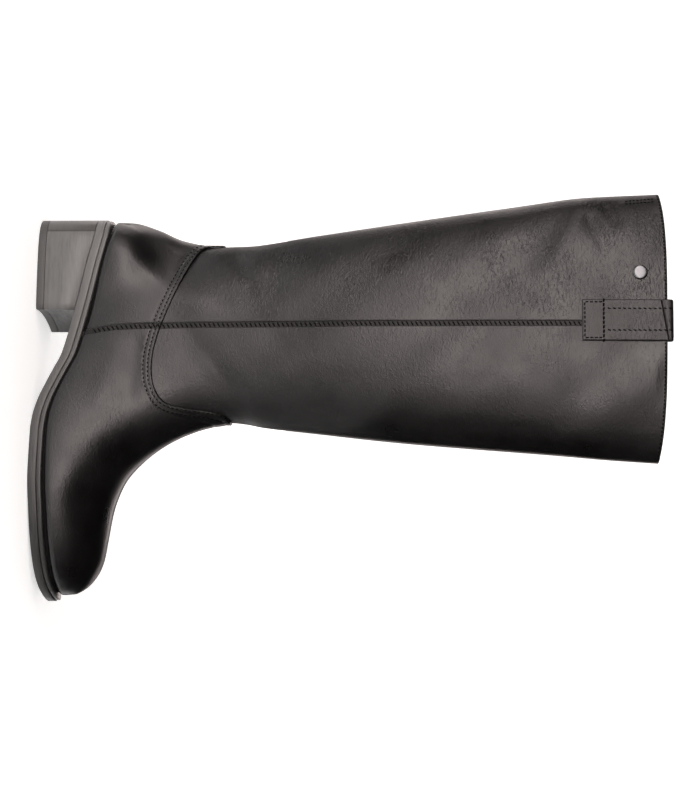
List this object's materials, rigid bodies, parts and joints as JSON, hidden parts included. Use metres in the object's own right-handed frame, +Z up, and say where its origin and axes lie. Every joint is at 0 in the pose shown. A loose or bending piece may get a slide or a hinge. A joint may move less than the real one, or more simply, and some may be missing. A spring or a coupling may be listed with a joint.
{
  "type": "tall leather boot",
  "caption": "Tall riding-style boot for the right foot: hollow leather shaft and foot on a block heel, with an inner side zip, a pull strap and a plain stud.",
  "frame": {"origin": "middle of the boot's box, on the floor", "axes": "+X towards the toe, +Y towards the inner side of the foot, +Z up the shaft"},
  "size_m": [0.2889, 0.0904, 0.4437],
  "materials": {
    "smooth_leather": "smooth black calf, half matt",
    "strap_leather": "smooth black strap leather",
    "zip_tape": "black woven tape",
    "zip_coil": "black nylon coil",
    "gunmetal": "dark nickel plate",
    "polished_stud": "polished nickel",
    "insole_board": "matt sock lining",
    "sole_edge": "dark grey trimmed edge",
    "heel_stack": "dark grey stacked layers, waxed"
  },
  "bodies": {
    "boot": {"upper": "smooth_leather", "vamp": "smooth_leather", "counter": "smooth_leather", "gusset": "smooth_leather", "pull_strap": "strap_leather", "zip_tape": "zip_tape", "zip_coil": "zip_coil", "zip_slider": "gunmetal", "stud": "polished_stud", "insole": "insole_board", "midsole": "sole_edge", "outsole": "sole_edge", "heel_block": "heel_stack", "heel_tip": "heel_stack"},
    "zip_pull": {"zip_pull": "gunmetal"}
  },
  "joints": [
    {"name": "pull_swing", "type": "hinge", "parent": "boot", "child": "zip_pull", "pos_m": [-0.04195, 0.03488, 0.434], "axis": [1, 0, 0], "range_deg": [0, 150]}
  ]
}
